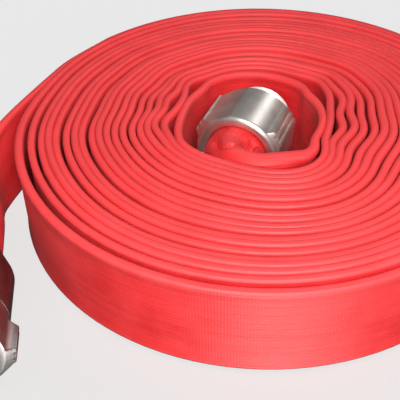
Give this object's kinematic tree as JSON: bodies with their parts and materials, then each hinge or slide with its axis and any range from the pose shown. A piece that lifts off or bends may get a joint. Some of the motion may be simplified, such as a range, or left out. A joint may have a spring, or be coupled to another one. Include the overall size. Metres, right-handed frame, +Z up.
{
  "type": "fire hose",
  "caption": "Rubber-covered lay-flat fire hose rolled flat around its threaded male coupling, with a free tail that ends in a spinning female swivel coupling.",
  "frame": {"origin": "middle of the whole footprint, on the floor under the roll", "axes": "+Z up along the roll's axis, +Y from the swivel coupling's mouth towards the back of the roll, +X from the swivel coupling across the roll"},
  "size_m": [0.4483, 0.4052, 0.0805],
  "materials": {
    "hose_rubber": "matte ribbed nitrile rubber over a woven jacket",
    "coupling_metal": "satin turned",
    "ring_brass": "drawn",
    "gasket_rubber": "matte",
    "ball_steel": "polished",
    "screw_steel": "satin"
  },
  "bodies": {
    "hose": {"hose_roll": "hose_rubber", "hose_inner_end": "hose_rubber", "hose_tail": "hose_rubber", "male_body": "coupling_metal", "male_hose_cuff": "hose_rubber", "male_expansion_ring": "ring_brass", "male_tail_gasket": "gasket_rubber", "swivel_shank": "coupling_metal", "swivel_hose_cuff": "hose_rubber", "swivel_expansion_ring": "ring_brass", "swivel_tail_gasket": "gasket_rubber", "bearing_balls": "ball_steel"},
    "swivel": {"swivel_ring": "coupling_metal", "ball_port_screw": "screw_steel", "thread_gasket": "gasket_rubber"}
  },
  "joints": [
    {"name": "swivel_spin", "type": "hinge", "parent": "hose", "child": "swivel", "pos_m": [-0.18486, -0.17266, 0.0362], "axis": [0.0872, -0.9962, 0], "continuous": true}
  ]
}
